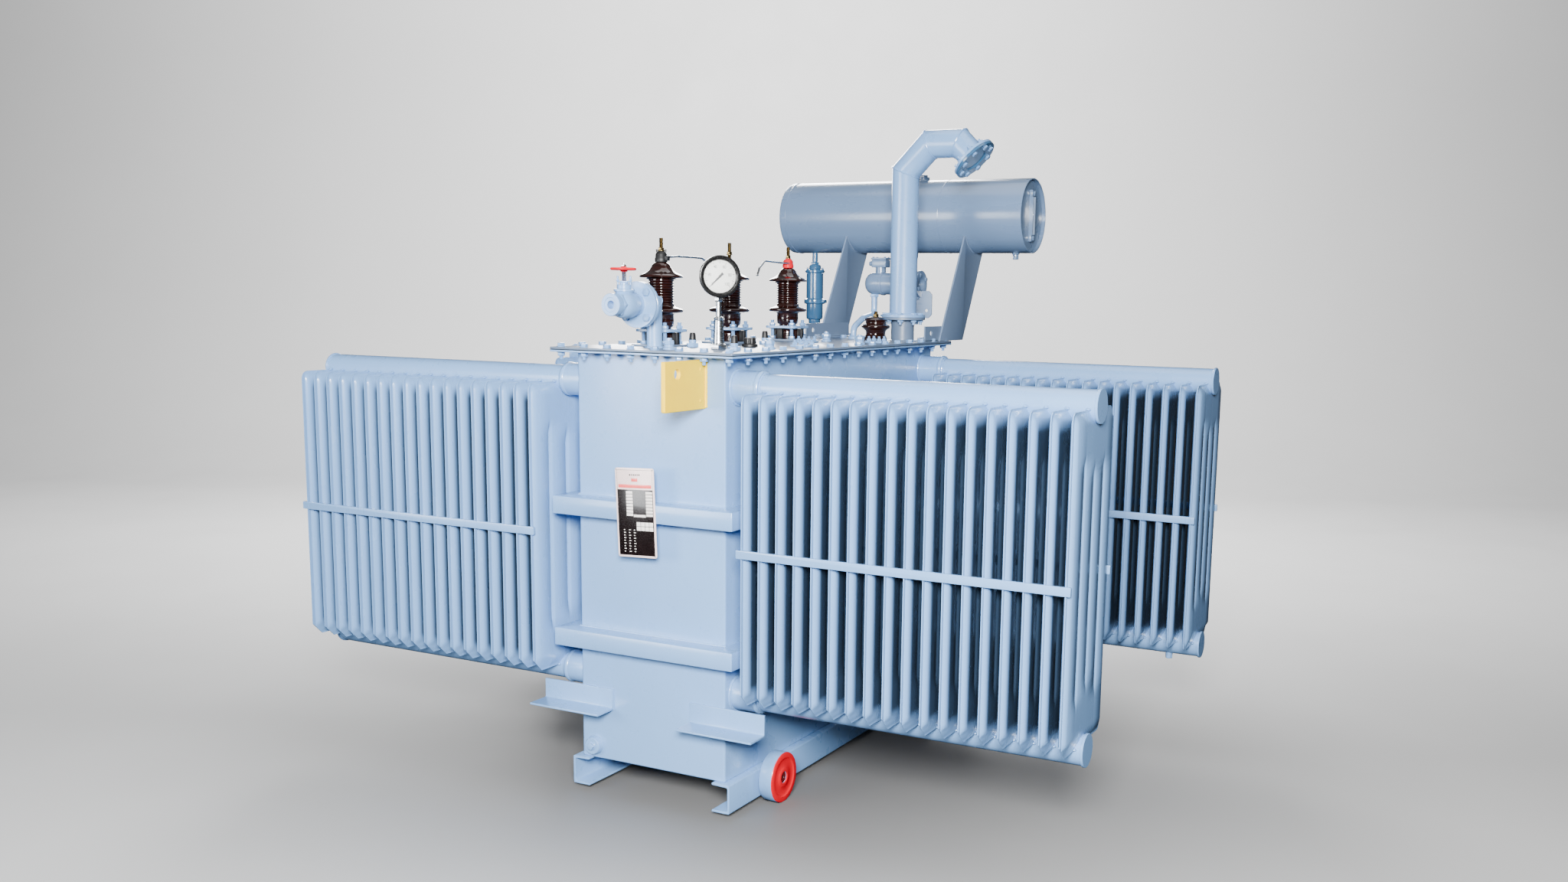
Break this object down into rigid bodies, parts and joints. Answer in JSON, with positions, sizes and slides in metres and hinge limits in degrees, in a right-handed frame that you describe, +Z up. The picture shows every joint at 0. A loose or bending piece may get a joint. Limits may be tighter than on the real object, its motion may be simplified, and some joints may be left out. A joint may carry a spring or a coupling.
{
  "type": "pad-mounted transformer",
  "caption": "Oil-filled distribution transformer with radiator banks, conservator, high voltage bushings and rollers.",
  "frame": {"origin": "on the floor midway between the four rollers, under the middle of the tank", "axes": "+X across the tank to the side that the right-hand radiators are on, +Y along the tank to the end that carries the conservator, +Z up; the rating plate faces -Y"},
  "size_m": [2.413, 1.89, 1.9195],
  "materials": {
    "enamel_paint": "glossy light blue-gray enamel",
    "dark_blue_paint": "glossy darker blue enamel",
    "red_paint": "glossy red enamel",
    "yellow_paint": "satin yellow enamel",
    "brown_porcelain": "glossy opaque brown glaze on porcelain",
    "brass": "turned brass",
    "black_plastic": "satin black",
    "white_dial": "matt white print",
    "clear_glass": "clear polished",
    "cork_rubber": "matt black",
    "printed_plate": "satin printed steel sheet",
    "moulded_resin": "satin red-brown resin",
    "silicon_steel": "dull rolled steel",
    "copper_winding": "varnished copper"
  },
  "bodies": {
    "transformer_body": {"tank": "enamel_paint", "tank_cover": "enamel_paint", "base_channel_left": "enamel_paint", "base_channel_right": "enamel_paint", "radiator_fins_front_left": "enamel_paint", "radiator_fins_front_right": "enamel_paint", "radiator_fins_rear_left": "enamel_paint", "radiator_fins_rear_right": "enamel_paint", "upper_header_front_left": "enamel_paint", "upper_header_front_right": "enamel_paint", "upper_header_rear_left": "enamel_paint", "upper_header_rear_right": "enamel_paint", "lower_header_front_left": "enamel_paint", "lower_header_front_right": "enamel_paint", "lower_header_rear_left": "enamel_paint", "lower_header_rear_right": "enamel_paint", "hv_clamp_1": "enamel_paint", "hv_clamp_2": "enamel_paint", "hv_clamp_3": "enamel_paint", "vent_pipe": "enamel_paint", "valve_riser": "enamel_paint", "valve_body": "enamel_paint", "conservator_shell": "enamel_paint", "conservator_end_disc": "enamel_paint", "conservator_leg_left": "enamel_paint", "conservator_leg_right": "enamel_paint", "gas_relay": "enamel_paint", "oil_feed_pipe": "enamel_paint", "burst_disc": "dark_blue_paint", "silica_breather": "dark_blue_paint", "lifting_lug_front": "yellow_paint", "lifting_lug_rear": "yellow_paint", "hv_porcelain_1": "brown_porcelain", "hv_porcelain_2": "brown_porcelain", "hv_porcelain_3": "brown_porcelain", "neutral_bushing": "brown_porcelain", "hv_terminal_1": "brass", "hv_terminal_2": "brass", "hv_terminal_3": "brass", "thermometer_case": "black_plastic", "thermometer_dial": "white_dial", "thermometer_glass": "clear_glass", "oil_sight_glass": "clear_glass", "cover_gasket": "cork_rubber", "rating_plate": "printed_plate", "lv_terminal_block": "moulded_resin", "magnetic_core": "silicon_steel", "lower_core_clamp": "silicon_steel", "upper_core_clamp": "silicon_steel", "winding_1": "copper_winding", "winding_2": "copper_winding", "winding_3": "copper_winding"},
    "front_left_roller": {"roller_front_left": "red_paint"},
    "front_right_roller": {"roller_front_right": "red_paint"},
    "rear_left_roller": {"roller_rear_left": "red_paint"},
    "rear_right_roller": {"roller_rear_right": "red_paint"},
    "drain_valve_gate": {"valve_gate": "brass"},
    "drain_valve_wheel": {"valve_handwheel": "red_paint"},
    "temperature_needle": {"thermometer_needle": "black_plastic"},
    "tap_selector": {"tap_changer": "black_plastic"}
  },
  "joints": [
    {"name": "front_left_roller_spin", "type": "hinge", "parent": "transformer_body", "child": "front_left_roller", "pos_m": [-0.2705, -0.464, 0.07], "axis": [1, 0, 0], "continuous": true},
    {"name": "front_right_roller_spin", "type": "hinge", "parent": "transformer_body", "child": "front_right_roller", "pos_m": [0.2705, -0.464, 0.07], "axis": [1, 0, 0], "continuous": true},
    {"name": "rear_left_roller_spin", "type": "hinge", "parent": "transformer_body", "child": "rear_left_roller", "pos_m": [-0.2705, 0.464, 0.07], "axis": [1, 0, 0], "continuous": true},
    {"name": "rear_right_roller_spin", "type": "hinge", "parent": "transformer_body", "child": "rear_right_roller", "pos_m": [0.2705, 0.464, 0.07], "axis": [1, 0, 0], "continuous": true},
    {"name": "valve_wheel_turn", "type": "hinge", "parent": "transformer_body", "child": "drain_valve_wheel", "pos_m": [-0.053, -0.685, 1.357], "axis": [0, 0, 1], "range_deg": [0, 1800]},
    {"name": "valve_gate_lift", "type": "slide", "parent": "transformer_body", "child": "drain_valve_gate", "axis": [0, 0, 1], "range_m": [0, 0.025]},
    {"name": "temperature_needle_swing", "type": "hinge", "parent": "transformer_body", "child": "temperature_needle", "pos_m": [0.139, -0.53, 1.434], "axis": [0.7193, -0.6947, 0], "range_deg": [-270, 0]},
    {"name": "tap_selector_turn", "type": "hinge", "parent": "transformer_body", "child": "tap_selector", "pos_m": [0.1, -0.307, 1.242], "axis": [0, 0, 1], "range_deg": [0, 120]}
  ],
  "couplings": [
    {"joint": "valve_gate_lift", "follows": "valve_wheel_turn", "m_per_rad": 0.00079577}
  ]
}
